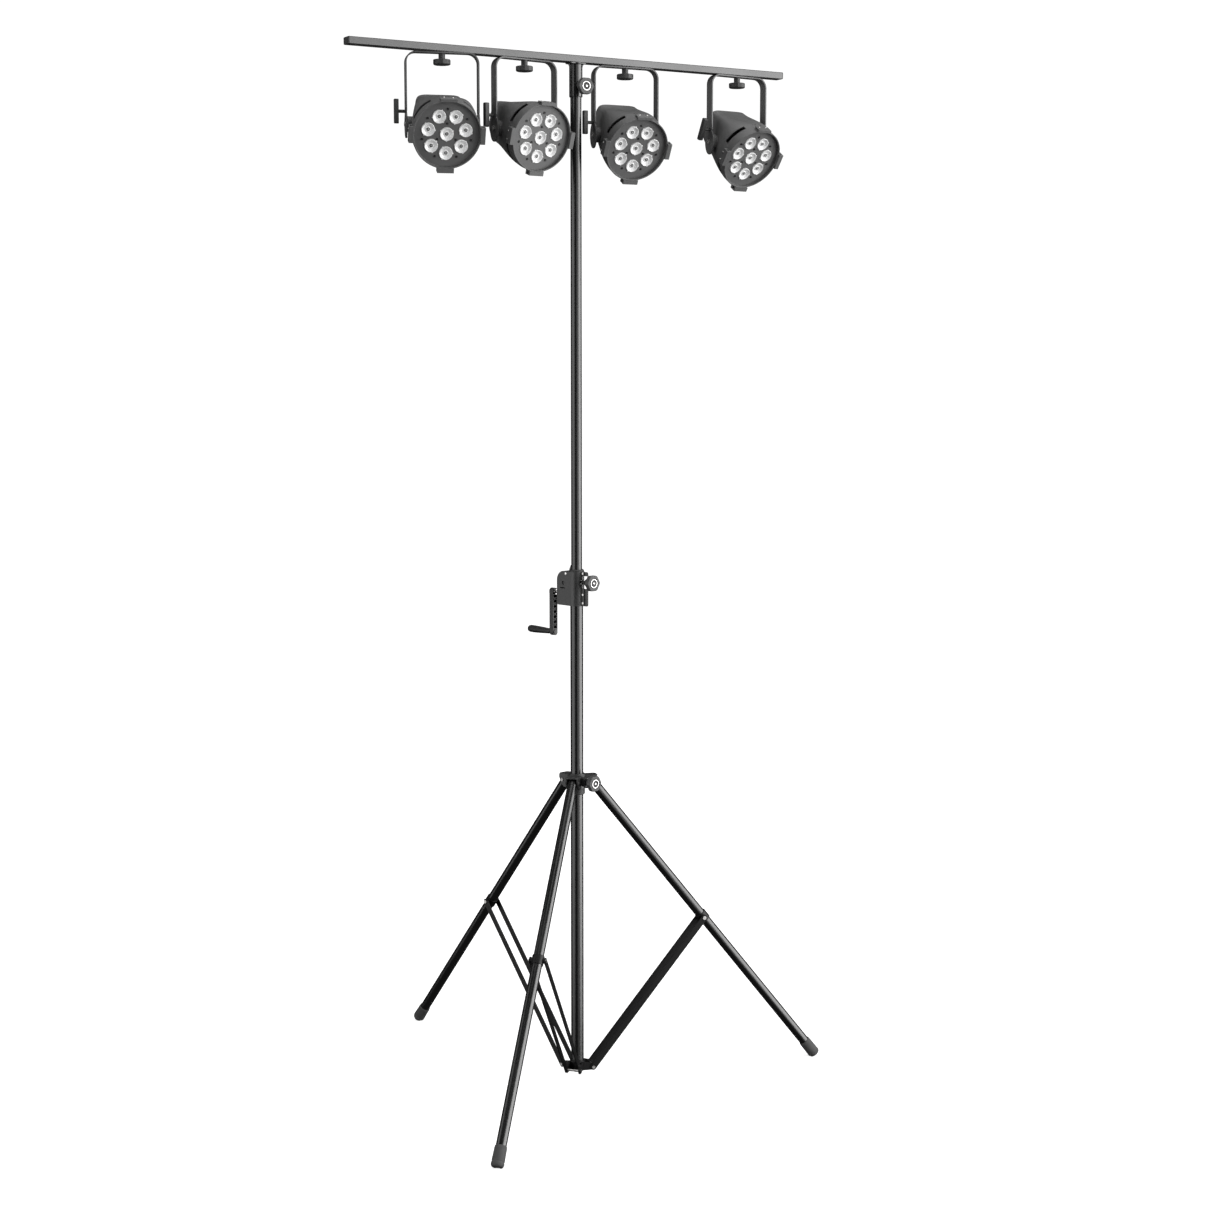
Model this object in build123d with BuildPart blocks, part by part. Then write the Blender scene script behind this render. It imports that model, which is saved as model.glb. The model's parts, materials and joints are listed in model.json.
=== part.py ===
from build123d import *
from math import atan, cos, degrees, pi, radians, sin, sqrt
import os

os.makedirs("parts", exist_ok=True)

# ---------------------------------------------------------------- driving dimensions (mm)
# Mast
OUTER_R = 19.0
OUTER_BORE_R = 17.5
OUTER_TOP = 1520.0
OUTER_BOTTOM = 28.0
INNER_R = 16.0
INNER_BORE_R = 14.5
INNER_BOTTOM = 1180.0
INNER_TOP = 2979.7

# Crossbar
BAR_LENGTH = 1400.0
BAR_DEPTH = 35.0
BAR_HEIGHT = 20.0
BAR_WALL = 1.5
BAR_BOTTOM = 2980.0
SLEEVE_BOTTOM = 2885.0
SLEEVE_BORE_R = 16.08

# Legs: azimuths about the mast, and the fold linkage in one leg's own plane
LEG_AZIMUTHS = (-15.54, -135.54, 104.46)
PIVOT_R = 44.0
HUB_PIVOT_Z = 904.4
HUB_TOP = 923.0
HUB_BOTTOM = 884.0
BASE_PIVOT_Z = 32.0
BASE_BOTTOM = 17.0
BASE_BORE_R = 10.0
LEG_SLOPE = atan(1 / 1.2608)
LEG_LENGTH = (HUB_PIVOT_Z - 6.0) / cos(LEG_SLOPE)
LEG_R = 15.0
LEG_OVERRUN = 4.6
BRACE_LENGTH = (HUB_PIVOT_Z - BASE_PIVOT_Z) / 2 / cos(LEG_SLOPE)
BRACE_INNER = 20.8
BRACE_THICK = 3.0
PIN_R = 3.0
RUNNING = 0.06
SEATED = 0.05

# Winch: crank side azimuth, drive centres
WINCH_AZIMUTH = 104.46
GEAR_MODULE = 2.0
GEAR_TEETH = 20
GEAR_PITCH_R = 20.0
GEAR_U = 34.0
GEAR_Z = 1493.0
GEAR_FACE = 5.0
WORM_PITCH_R = 12.0
WORM_Z = GEAR_Z - GEAR_PITCH_R - WORM_PITCH_R
WORM_LEAD = 4 * pi
RACK_BOTTOM = 1462.0
RACK_TOP = 2524.0
CASE_BOTTOM = 1427.0
CASE_TOP = 1528.0
CASE_END_U = 61.0
CASE_HALF = 22.5
CASE_WALL = 2.5
CRANK_THROW = 120.0
CRANK_U = 92.2
CRANK_THICK = 17.8

# Lock knobs: height and reach of the face of each one
WINCH_KNOB = (1497.0, 73.5)
SLEEVE_KNOB = (2910.0, 63.0)
HUB_KNOB = (906.0, 79.5)

# Lamps: place along the bar, pan and downward tilt of each one
LAMPS = (
    (-420.4, -16.7, 23.2),
    (-165.0, 5.5, 19.1),
    (162.4, -4.4, 29.4),
    (548.3, 4.5, 35.3),
)
HANDLE_TURNS = (0.0, 0.0, 0.0, 25.0)
LAMP_PIVOT_Z = 2784.0
HANDLE_RISE = 34.0
YOKE_TOP = 2979.7
YOKE_HALF = 102.5
YOKE_THICK = 4.0
YOKE_WIDTH = 26.0


# ---------------------------------------------------------------- frames
def upright(azimuth, side=0.0):
    """Vertical plane through the mast: x runs outwards, y runs up, moved sideways by side."""
    a = radians(azimuth)
    return Plane(
        origin=(-side * sin(a), side * cos(a), 0),
        x_dir=(cos(a), sin(a), 0),
        z_dir=(sin(a), -cos(a), 0),
    )


def level(azimuth, height):
    """Horizontal plane at a height: x runs outwards along the azimuth."""
    a = radians(azimuth)
    return Plane(origin=(0, 0, height), x_dir=(cos(a), sin(a), 0), z_dir=(0, 0, 1))


def outward(azimuth, height, reach):
    """Plane that faces outwards from the mast at a height and a distance from its axis."""
    a = radians(azimuth)
    return Plane(
        origin=(reach * cos(a), reach * sin(a), height),
        x_dir=(-sin(a), cos(a), 0),
        z_dir=(cos(a), sin(a), 0),
    )


def along_leg(azimuth, distance):
    """Plane square to a leg, a distance down its axis from the hub pivot."""
    a = radians(azimuth)
    run = PIVOT_R + distance * sin(LEG_SLOPE)
    return Plane(
        origin=(run * cos(a), run * sin(a), HUB_PIVOT_Z - distance * cos(LEG_SLOPE)),
        x_dir=(-sin(a), cos(a), 0),
        z_dir=(cos(a) * sin(LEG_SLOPE), sin(a) * sin(LEG_SLOPE), -cos(LEG_SLOPE)),
    )


def save(part, name):
    part.label = name
    export_step(part, "parts/" + name + ".step")


MID_R = PIVOT_R + BRACE_LENGTH * sin(LEG_SLOPE)
MID_Z = HUB_PIVOT_Z - BRACE_LENGTH * cos(LEG_SLOPE)

# ---------------------------------------------------------------- fixed mast
with BuildPart() as mast_tube:
    with BuildSketch(Plane.XY.offset(OUTER_BOTTOM)):
        Circle(OUTER_R)
        Circle(OUTER_BORE_R, mode=Mode.SUBTRACT)
    extrude(amount=OUTER_TOP - OUTER_BOTTOM)
    with BuildSketch(outward(WINCH_AZIMUTH, GEAR_Z, 12.0)):
        RectangleRounded(7.4, 54.0, 2.0)
    extrude(amount=10.0, mode=Mode.SUBTRACT)
    with BuildSketch(outward(WINCH_AZIMUTH + 180, WINCH_KNOB[0], 12.0)):
        Circle(4.0 + RUNNING)
    extrude(amount=10.0, mode=Mode.SUBTRACT)
save(mast_tube.part, "mast_tube")

with BuildPart() as base_hub:
    with BuildSketch(Plane.XY.offset(OUTER_BOTTOM - 3.5)):
        Circle(23.0)
    extrude(amount=27.0)
    with BuildSketch(Plane.XY.offset(BASE_BOTTOM)):
        Circle(14.0)
    extrude(amount=10.0)
    for azimuth in LEG_AZIMUTHS:
        for side in (-19.0, 19.0):
            with BuildSketch(upright(azimuth, side)):
                with BuildLine():
                    Polyline((12, 23), (47, 23), (52, 28), (52, 37), (46, 42), (12, 50), (12, 23))
                make_face()
            extrude(amount=1.5, both=True)
    for azimuth in LEG_AZIMUTHS:
        with BuildSketch(upright(azimuth)):
            with Locations((PIVOT_R, BASE_PIVOT_Z)):
                Circle(PIN_R + SEATED)
        extrude(amount=24.0, both=True, mode=Mode.SUBTRACT)
    with BuildSketch(Plane.XY.offset(OUTER_BOTTOM)):
        Circle(OUTER_R + SEATED)
    extrude(amount=60.0, mode=Mode.SUBTRACT)
    with BuildSketch(Plane.XY.offset(BASE_BOTTOM - 4.0)):
        Circle(BASE_BORE_R)
    extrude(amount=20.0, mode=Mode.SUBTRACT)
    chamfer(base_hub.edges().filter_by(GeomType.CIRCLE).sort_by(Axis.Z)[-2:], 0.5)
save(base_hub.part, "base_hub")

with BuildPart() as base_pins:
    for azimuth in LEG_AZIMUTHS:
        with BuildSketch(upright(azimuth)):
            with Locations((PIVOT_R, BASE_PIVOT_Z)):
                Circle(PIN_R)
        extrude(amount=24.2, both=True)
        for side in (-1, 1):
            with BuildSketch(upright(azimuth, side * 24.1)):
                with Locations((PIVOT_R, BASE_PIVOT_Z)):
                    Circle(4.6)
            extrude(amount=-side * 2.2)
save(base_pins.part, "base_pins")

# ---------------------------------------------------------------- winch case
CASE_PLANE = upright(WINCH_AZIMUTH)


def build_case(sign, flange, name):
    """One riveted half of the case; sign picks the side, flange its reach behind the mast."""
    with BuildPart() as shell:
        with BuildSketch(level(WINCH_AZIMUTH, CASE_BOTTOM)):
            Circle(CASE_HALF)
            with Locations((CASE_END_U / 2, 0)):
                Rectangle(CASE_END_U, 2 * CASE_HALF)
            with Locations((0, -sign * 49.8)):
                Rectangle(200, 100, mode=Mode.SUBTRACT)
        extrude(amount=CASE_TOP - CASE_BOTTOM)
        with BuildSketch(CASE_PLANE) as outline:
            with Locations((CASE_END_U / 2 - 20, (CASE_BOTTOM + CASE_TOP) / 2)):
                Rectangle(CASE_END_U + 40, CASE_TOP - CASE_BOTTOM)
            fillet(outline.vertices().sort_by(Axis.Y)[-2:].sort_by(Axis.X)[-1], 28.0)
            fillet(outline.vertices().sort_by(Axis.Y)[:2].sort_by(Axis.X)[-1], 7.0)
        extrude(amount=60.0, both=True, mode=Mode.INTERSECT)
        with BuildSketch(CASE_PLANE) as hollow:
            with Locations(((CASE_END_U - CASE_WALL) / 2, (CASE_BOTTOM + CASE_TOP) / 2)):
                Rectangle(CASE_END_U - CASE_WALL, CASE_TOP - CASE_BOTTOM - 2 * CASE_WALL)
            fillet(hollow.vertices().sort_by(Axis.Y)[-2:].sort_by(Axis.X)[-1], 25.5)
            fillet(hollow.vertices().sort_by(Axis.Y)[:2].sort_by(Axis.X)[-1], 4.5)
        extrude(amount=CASE_HALF - CASE_WALL, both=True, mode=Mode.SUBTRACT)
        with BuildSketch(CASE_PLANE) as rim:
            with Locations((-(flange + 16.0) / 2, (CASE_BOTTOM + CASE_TOP) / 2)):
                Rectangle(flange - 16.0, CASE_TOP - CASE_BOTTOM)
            fillet(rim.vertices().sort_by(Axis.X)[:2], 6.0)
            with Locations((-46.0, WINCH_KNOB[0])):
                Rectangle(40.0, 37.0, mode=Mode.SUBTRACT)
        extrude(amount=-sign * 2.7)
        with BuildSketch(CASE_PLANE):
            with Locations((-30.0, (CASE_BOTTOM + CASE_TOP) / 2)):
                Rectangle(140, 200)
        extrude(amount=sign * 0.2, mode=Mode.SUBTRACT)
        with BuildSketch(CASE_PLANE):
            with Locations((30.0, (CASE_BOTTOM + CASE_TOP) / 2)):
                Rectangle(200, 200)
        extrude(amount=-sign * 0.2, mode=Mode.SUBTRACT)
        with BuildSketch(Plane.XY.offset(CASE_BOTTOM - 5)):
            Circle(OUTER_R + 0.3)
        extrude(amount=120.0, mode=Mode.SUBTRACT)
        with BuildSketch(outward(WINCH_AZIMUTH, WORM_Z, CASE_END_U - 8)):
            Circle(5.3)
        extrude(amount=12.0, mode=Mode.SUBTRACT)
        with BuildSketch(outward(WINCH_AZIMUTH + 180, WINCH_KNOB[0], 10.0)):
            Circle(7.0)
        extrude(amount=40.0, mode=Mode.SUBTRACT)
        with BuildSketch(CASE_PLANE):
            with Locations(*[(u, z) for u, z in CASE_RIVETS]):
                Circle(2.0 + SEATED)
            with Locations((GEAR_U, GEAR_Z)):
                Circle(5.5)
            if sign > 0:
                with Locations((GEAR_U + 3.0, 1478.0)):
                    SlotOverall(20.0, 3.2)
        extrude(amount=30.0, both=True, mode=Mode.SUBTRACT)
    save(shell.part, name)
    return shell


CASE_RIVETS = ((-29.0, 1523.4), (-29.0, 1461.0), (-29.0, 1436.0), (22.0, 1521.6))
winch_case_front = build_case(1, 34.0, "winch_case_front")
winch_case_rear = build_case(-1, 47.0, "winch_case_rear")

with BuildPart() as winch_pins:
    for u, z in CASE_RIVETS[:3]:
        with BuildSketch(CASE_PLANE):
            with Locations((u, z)):
                Circle(2.0)
        extrude(amount=2.8, both=True)
        for side in (-1, 1):
            with BuildSketch(upright(WINCH_AZIMUTH, side * 2.72)):
                with Locations((u, z)):
                    Circle(3.4)
            extrude(amount=-side * 1.4)
    for side in (-1, 1):
        with BuildSketch(upright(WINCH_AZIMUTH, side * (CASE_HALF + 0.02))):
            with Locations(CASE_RIVETS[3]):
                Circle(3.6)
        extrude(amount=-side * 1.4)
    with BuildSketch(CASE_PLANE):
        with Locations(CASE_RIVETS[3]):
            Circle(2.0)
    extrude(amount=CASE_HALF + 0.1, both=True)
    with BuildSketch(CASE_PLANE):
        with Locations((GEAR_U, GEAR_Z)):
            Circle(4.0)
    extrude(amount=20.5, both=True)
save(winch_pins.part, "winch_pins")

with BuildPart() as worm_cradle:
    with BuildSketch(upright(WINCH_AZIMUTH)):
        with BuildLine():
            Polyline(
                (20.6, 1441), (48.6, 1441), (48.6, 1469), (46, 1469), (46, 1443.5),
                (23.2, 1443.5), (23.2, 1469), (20.6, 1469), (20.6, 1441),
            )
        make_face()
    extrude(amount=11.0, both=True)
    with BuildSketch(level(WINCH_AZIMUTH, 1441.0)):
        with Locations((34.6, 0)):
            Rectangle(16.0, 39.6)
    extrude(amount=2.5)
    with BuildSketch(outward(WINCH_AZIMUTH, WORM_Z, 15.0)):
        Circle(5.0 + RUNNING)
    extrude(amount=40.0, mode=Mode.SUBTRACT)
save(worm_cradle.part, "worm_cradle")

with BuildPart() as guide_bush:
    with BuildSketch(Plane.XZ):
        with BuildLine():
            Polyline(
                (INNER_R + 0.08, 1517.6), (17.4, 1517.6), (17.4, 1520.2), (19.1, 1520.2),
                (19.1, 1528.3), (21.6, 1528.3), (21.6, 1531.0), (19.6, 1533.5),
                (INNER_R + 0.08, 1533.5), (INNER_R + 0.08, 1517.6),
            )
        make_face()
    revolve(axis=Axis.Z)
    with BuildSketch(upright(WINCH_AZIMUTH)):
        with BuildLine():
            Polyline((16.6, 1530), (25.5, 1528.4), (25.5, 1532), (18.4, 1546), (16.6, 1546), (16.6, 1530))
        make_face()
    extrude(amount=6.0, both=True)
    with BuildSketch(Plane.XY.offset(1510)):
        Circle(INNER_R + 0.08)
    extrude(amount=60.0, mode=Mode.SUBTRACT)
save(guide_bush.part, "guide_bush")

# ---------------------------------------------------------------- winch drive
TOOTH_HALF = pi * GEAR_MODULE / 4 - 0.12


def tooth_points(radius_in, radius_out, count):
    """Points of a straight-flanked gear outline, one tooth centred on the minus x axis."""
    points = []
    for i in range(count):
        mid = pi + 2 * pi * i / count
        root = (TOOTH_HALF + 0.75) / radius_in
        tip = (TOOTH_HALF - 0.70) / radius_out
        for radius, angle in ((radius_in, -root), (radius_out, -tip), (radius_out, tip), (radius_in, root)):
            points.append((radius * cos(mid + angle), radius * sin(mid + angle)))
    return points


with BuildPart() as drive_gear:
    with BuildSketch(upright(WINCH_AZIMUTH)):
        with Locations((GEAR_U, GEAR_Z)):
            Polygon(*tooth_points(17.6, 21.8, GEAR_TEETH), align=None)
            Circle(4.0 + RUNNING, mode=Mode.SUBTRACT)
            with PolarLocations(11.0, 5):
                Circle(2.6, mode=Mode.SUBTRACT)
    extrude(amount=GEAR_FACE / 2, both=True)
    for side in (-1, 1):
        with BuildSketch(upright(WINCH_AZIMUTH, side * GEAR_FACE / 2)):
            with Locations((GEAR_U, GEAR_Z)):
                Circle(7.5)
                Circle(4.0 + RUNNING, mode=Mode.SUBTRACT)
        extrude(amount=-side * 14.0)
save(drive_gear.part, "drive_gear")

with BuildPart() as worm_shaft:
    with BuildSketch(outward(WINCH_AZIMUTH, WORM_Z, 20.4)):
        Circle(5.0)
    extrude(amount=CRANK_U + CRANK_THICK + 1.4 - 20.4)
    with BuildSketch(outward(WINCH_AZIMUTH, WORM_Z, 23.8)):
        Circle(9.4)
    extrude(amount=21.6)
    with BuildSketch(outward(WINCH_AZIMUTH, WORM_Z, 61.5)):
        Circle(8.5)
    extrude(amount=2.2)
    with BuildSketch(outward(WINCH_AZIMUTH, WORM_Z, CRANK_U - 6.4)):
        RegularPolygon(8.5, 6)
    extrude(amount=6.2)
    with BuildSketch(outward(WINCH_AZIMUTH, WORM_Z, CRANK_U + CRANK_THICK + 0.4)):
        Circle(7.0)
    extrude(amount=3.0)
    crank_axis = Axis((0, 0, WORM_Z), (cos(radians(WINCH_AZIMUTH)), sin(radians(WINCH_AZIMUTH)), 0))
    chamfer(worm_shaft.edges().filter_by(GeomType.CIRCLE).sort_by(crank_axis)[-1], 1.2)

# The two thread starts; a gap between threads faces the gear, level with its axle.
WORM_START_U = 25.8
WORM_START_TURN = 360.0 * (WORM_START_U - GEAR_U + WORM_LEAD * 0.75) / WORM_LEAD
with BuildPart() as worm_thread:
    with BuildLine():
        Helix(pitch=WORM_LEAD, height=16.4, radius=9.2)
    with BuildSketch(Plane.XZ):
        with BuildLine():
            Polyline((9.0, -1.6), (13.7, -0.6), (13.7, 0.6), (9.0, 1.6), (9.0, -1.6))
        make_face()
    sweep(is_frenet=True)
worm_frame = Plane(
    origin=(WORM_START_U * cos(radians(WINCH_AZIMUTH)), WORM_START_U * sin(radians(WINCH_AZIMUTH)), WORM_Z),
    x_dir=(0, 0, 1),
    z_dir=(cos(radians(WINCH_AZIMUTH)), sin(radians(WINCH_AZIMUTH)), 0),
).location
first_start = worm_frame * Location((0, 0, 0), (0, 0, 1), WORM_START_TURN) * worm_thread.part
second_start = worm_frame * Location((0, 0, 0), (0, 0, 1), WORM_START_TURN + 180) * worm_thread.part
worm = worm_shaft.part + first_start + second_start
save(worm, "worm_shaft")

with BuildPart() as crank_arm:
    with BuildSketch(outward(WINCH_AZIMUTH, WORM_Z - CRANK_THROW / 2, CRANK_U)):
        SlotOverall(CRANK_THROW + 22.0, 18.0, rotation=90)
    extrude(amount=CRANK_THICK)
    arm_face = outward(WINCH_AZIMUTH, WORM_Z - CRANK_THROW / 2, CRANK_U + CRANK_THICK)
    fillet(crank_arm.faces().sort_by_distance(arm_face.origin)[0].edges(), 3.0)
    with BuildSketch(outward(WINCH_AZIMUTH, WORM_Z - CRANK_THROW / 2, CRANK_U)):
        Rectangle(13.0, CRANK_THROW - 20.0)
    extrude(amount=12.0, mode=Mode.SUBTRACT)
    for step in range(6):
        for lean in (-40, 40):
            with BuildSketch(outward(WINCH_AZIMUTH, WORM_Z - 22.0 - 15.2 * step, CRANK_U + 1.2)):
                Rectangle(19.0, 1.8, rotation=lean)
                Rectangle(13.4, 40.0, mode=Mode.INTERSECT)
            extrude(amount=11.0)
    with BuildSketch(outward(WINCH_AZIMUTH, WORM_Z, CRANK_U - 4.2)):
        Circle(5.0 + SEATED)
    extrude(amount=40.0, mode=Mode.SUBTRACT)
    with BuildSketch(outward(WINCH_AZIMUTH, WORM_Z - CRANK_THROW, CRANK_U - 4.2)):
        Circle(4.0 + SEATED)
    extrude(amount=40.0, mode=Mode.SUBTRACT)

with BuildPart() as crank_pin:
    with BuildSketch(outward(WINCH_AZIMUTH, WORM_Z - CRANK_THROW, CRANK_U - 2.2)):
        Circle(7.0)
    extrude(amount=2.1)
    with BuildSketch(outward(WINCH_AZIMUTH, WORM_Z - CRANK_THROW, CRANK_U - 0.2)):
        Circle(4.0)
    extrude(amount=109.0)
save(Compound(children=[crank_arm.part, crank_pin.part]), "crank_arm")

GRIP_U = CRANK_U + CRANK_THICK
with BuildPart() as crank_grip:
    for step, radius in ((0.4, 7.4), (18.0, 8.4), (58.0, 10.6), (90.0, 11.0), (96.0, 8.5)):
        with BuildSketch(outward(WINCH_AZIMUTH, WORM_Z - CRANK_THROW, GRIP_U + step)) as ring:
            RegularPolygon(radius, 10)
            fillet(ring.vertices(), 0.9)
    loft(ruled=True)
    with BuildSketch(outward(WINCH_AZIMUTH, WORM_Z - CRANK_THROW, GRIP_U - 2.0)):
        Circle(4.0 + RUNNING)
    extrude(amount=94.0, mode=Mode.SUBTRACT)
save(crank_grip.part, "crank_grip")

# ---------------------------------------------------------------- rising mast
with BuildPart() as inner_tube:
    with BuildSketch(Plane.XY.offset(INNER_BOTTOM)):
        Circle(INNER_R)
        Circle(INNER_BORE_R, mode=Mode.SUBTRACT)
    extrude(amount=INNER_TOP - INNER_BOTTOM)
    with BuildSketch(level(WINCH_AZIMUTH, RACK_BOTTOM - 0.5)):
        with Locations((14.0, 0)):
            Rectangle(6.0, 6.4)
    extrude(amount=RACK_TOP - RACK_BOTTOM + 1.0, mode=Mode.SUBTRACT)
save(inner_tube.part, "inner_tube")


def rack_points():
    """Side outline of the rack: a gap sits level with the gear axle."""
    pitch = pi * GEAR_MODULE
    points = [(8.2, RACK_TOP), (8.2, RACK_BOTTOM), (11.5, RACK_BOTTOM)]
    first = int((RACK_BOTTOM - GEAR_Z) / pitch) + 1
    last = int((RACK_TOP - GEAR_Z) / pitch) - 1
    for k in range(first, last):
        mid = GEAR_Z + (k + 0.5) * pitch
        points.append((11.5, mid - TOOTH_HALF - 0.7))
        points.append((15.8, mid - TOOTH_HALF + 0.8))
        points.append((15.8, mid + TOOTH_HALF - 0.8))
        points.append((11.5, mid + TOOTH_HALF + 0.7))
    points.append((11.5, RACK_TOP))
    return points


with BuildPart() as rack:
    with BuildSketch(upright(WINCH_AZIMUTH)):
        with BuildLine():
            Polyline(*rack_points(), close=True)
        make_face()
    extrude(amount=2.6, both=True)
    with BuildSketch(level(WINCH_AZIMUTH, RACK_BOTTOM)):
        with Locations((9.6, 0)):
            Rectangle(2.8, 12.0)
    extrude(amount=RACK_TOP - RACK_BOTTOM)
save(rack.part, "rack")

with BuildPart() as inner_tube_bush:
    with BuildSketch(Plane.XY.offset(INNER_BOTTOM - 3.0)):
        Circle(OUTER_BORE_R - 0.07)
        Circle(10.0, mode=Mode.SUBTRACT)
    extrude(amount=43.0)
    chamfer(inner_tube_bush.edges().filter_by(GeomType.CIRCLE).group_by(SortBy.RADIUS)[-1], 0.8)
    with BuildSketch(Plane.XY.offset(INNER_BOTTOM)):
        Circle(INNER_R + SEATED)
        Circle(INNER_BORE_R - SEATED, mode=Mode.SUBTRACT)
    extrude(amount=60.0, mode=Mode.SUBTRACT)
save(inner_tube_bush.part, "inner_tube_bush")

# ---------------------------------------------------------------- crossbar
with BuildPart() as crossbar:
    with BuildSketch(Plane.YZ.offset(-BAR_LENGTH / 2)):
        with Locations((0, BAR_BOTTOM + BAR_HEIGHT / 2)):
            RectangleRounded(BAR_DEPTH, BAR_HEIGHT, 2.2)
            RectangleRounded(BAR_DEPTH - 2 * BAR_WALL, BAR_HEIGHT - 2 * BAR_WALL, 0.9, mode=Mode.SUBTRACT)
    extrude(amount=BAR_LENGTH)
    with BuildSketch(Plane.XY.offset(BAR_BOTTOM - 2)):
        with Locations(*[(x, 0) for x, pan, tilt in LAMPS]):
            Circle(4.0 + RUNNING)
    extrude(amount=6.0, mode=Mode.SUBTRACT)
save(crossbar.part, "crossbar")

with BuildPart() as crossbar_end_caps:
    for end in (-1, 1):
        with BuildSketch(Plane.YZ.offset(end * (BAR_LENGTH / 2 + 0.05))):
            with Locations((0, BAR_BOTTOM + BAR_HEIGHT / 2)):
                RectangleRounded(BAR_DEPTH, BAR_HEIGHT, 3.0)
        extrude(amount=end * 3.2)
        with BuildSketch(Plane.YZ.offset(end * (BAR_LENGTH / 2 + 0.05))):
            with Locations((0, BAR_BOTTOM + BAR_HEIGHT / 2)):
                RectangleRounded(BAR_DEPTH - 2 * BAR_WALL - 0.2, BAR_HEIGHT - 2 * BAR_WALL - 0.2, 0.8)
        extrude(amount=-end * 14.0)
    fillet(crossbar_end_caps.faces().sort_by(Axis.X)[0].edges(), 2.0)
    fillet(crossbar_end_caps.faces().sort_by(Axis.X)[-1].edges(), 2.0)
save(crossbar_end_caps.part, "crossbar_end_caps")

with BuildPart() as crossbar_sleeve:
    with BuildSketch(Plane.XY.offset(SLEEVE_BOTTOM)):
        Circle(19.0)
    extrude(amount=BAR_BOTTOM - SLEEVE_BOTTOM)
    with BuildSketch(Plane.XY.offset(BAR_BOTTOM - 3.0)):
        RectangleRounded(52.0, 33.0, 4.0)
    extrude(amount=3.0)
    with BuildSketch(Plane.XZ):
        with BuildLine():
            Polyline((-25, 2978), (25, 2978), (18.5, 2964), (-18.5, 2964), (-25, 2978))
        make_face()
    extrude(amount=2.0, both=True)
    with BuildSketch(Plane.XY.offset(SLEEVE_BOTTOM - 1)):
        Circle(SLEEVE_BORE_R)
    extrude(amount=200.0, mode=Mode.SUBTRACT)
    with BuildSketch(outward(-90.0, SLEEVE_KNOB[0], 10.0)):
        Circle(4.0 + RUNNING)
    extrude(amount=14.0, mode=Mode.SUBTRACT)
    chamfer(crossbar_sleeve.faces().sort_by(Axis.Z)[0].outer_wire().edges(), 0.8)
save(crossbar_sleeve.part, "crossbar_sleeve")


# ---------------------------------------------------------------- lock knobs
def build_knob(azimuth, height, face, tip, name):
    """Clamp knob: rounded grip, tapering skirt and threaded stud down to the tip."""
    with BuildPart() as knob:
        with BuildSketch(outward(azimuth, height, face - 13.0)) as head:
            RegularPolygon(26.0, 6)
            fillet(head.vertices(), 9.5)
        extrude(amount=13.0)
        fillet(knob.faces().sort_by_distance(outward(azimuth, height, face).origin)[0].edges(), 2.4)
        with BuildSketch(outward(azimuth, height, face - 1.0)):
            Circle(14.5)
        extrude(amount=2.0, mode=Mode.SUBTRACT)
        with BuildSketch(outward(azimuth, height, face - 12.9)):
            Circle(21.0)
        with BuildSketch(outward(azimuth, height, face - 32.0)):
            Circle(10.0)
        loft()
        with BuildSketch(outward(azimuth, height, tip)):
            Circle(4.0)
        extrude(amount=face - 30.0 - tip)
    save(knob.part, name)
    return knob


winch_knob = build_knob(WINCH_AZIMUTH + 180, *WINCH_KNOB, 16.4, "winch_knob")
sleeve_knob = build_knob(-90.0, *SLEEVE_KNOB, 16.4, "sleeve_knob")
hub_knob = build_knob(WINCH_AZIMUTH + 180, *HUB_KNOB, 19.4, "hub_knob")

# ---------------------------------------------------------------- sliding leg hub
CHEEK_INNER = 15.7
CHEEK_THICK = 3.0
LID_THICK = 2.5

with BuildPart() as leg_hub:
    with BuildSketch(Plane.XY.offset(HUB_BOTTOM)):
        Circle(24.5)
    extrude(amount=HUB_TOP - HUB_BOTTOM)
    with BuildSketch(Plane.XY.offset(HUB_TOP - LID_THICK)) as lid:
        Circle(27.0)
        for azimuth in LEG_AZIMUTHS:
            with Locations(Location((0, 0, 0), (0, 0, azimuth))):
                with Locations((30.0, 0)):
                    Rectangle(60.0, 2 * (CHEEK_INNER + CHEEK_THICK))
    extrude(amount=LID_THICK)
    lid_edges = leg_hub.edges().filter_by(Axis.Z)
    fillet(lid_edges.filter_by(lambda e: e.center().X ** 2 + e.center().Y ** 2 > 55.0 ** 2), 9.0)
    for azimuth in LEG_AZIMUTHS:
        for side in (-1, 1):
            with BuildSketch(upright(azimuth, side * (CHEEK_INNER + CHEEK_THICK / 2))) as cheek:
                with BuildLine():
                    Polyline((21, 922), (57, 922), (58, 912), (50, 893), (38, 884), (21, 884), (21, 922))
                make_face()
                fillet(cheek.vertices().filter_by(lambda v: v.X > 30 and v.Y < 900), 6.0)
            extrude(amount=CHEEK_THICK / 2, both=True)
        with BuildSketch(upright(azimuth)):
            with Locations((PIVOT_R, HUB_PIVOT_Z)):
                Circle(PIN_R + SEATED)
        extrude(amount=24.0, both=True, mode=Mode.SUBTRACT)
    with BuildSketch(outward(WINCH_AZIMUTH + 180, HUB_KNOB[0], 20.0)):
        RectangleRounded(22.0, 26.0, 4.0)
    extrude(amount=24.0)
    with BuildSketch(Plane.XY.offset(880.0)):
        Circle(21.5 + SEATED)
    extrude(amount=70.0, mode=Mode.SUBTRACT)
    with BuildSketch(outward(WINCH_AZIMUTH + 180, HUB_KNOB[0], 10.0)):
        Circle(4.0 + RUNNING)
    extrude(amount=40.0, mode=Mode.SUBTRACT)
save(leg_hub.part, "leg_hub")

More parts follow.
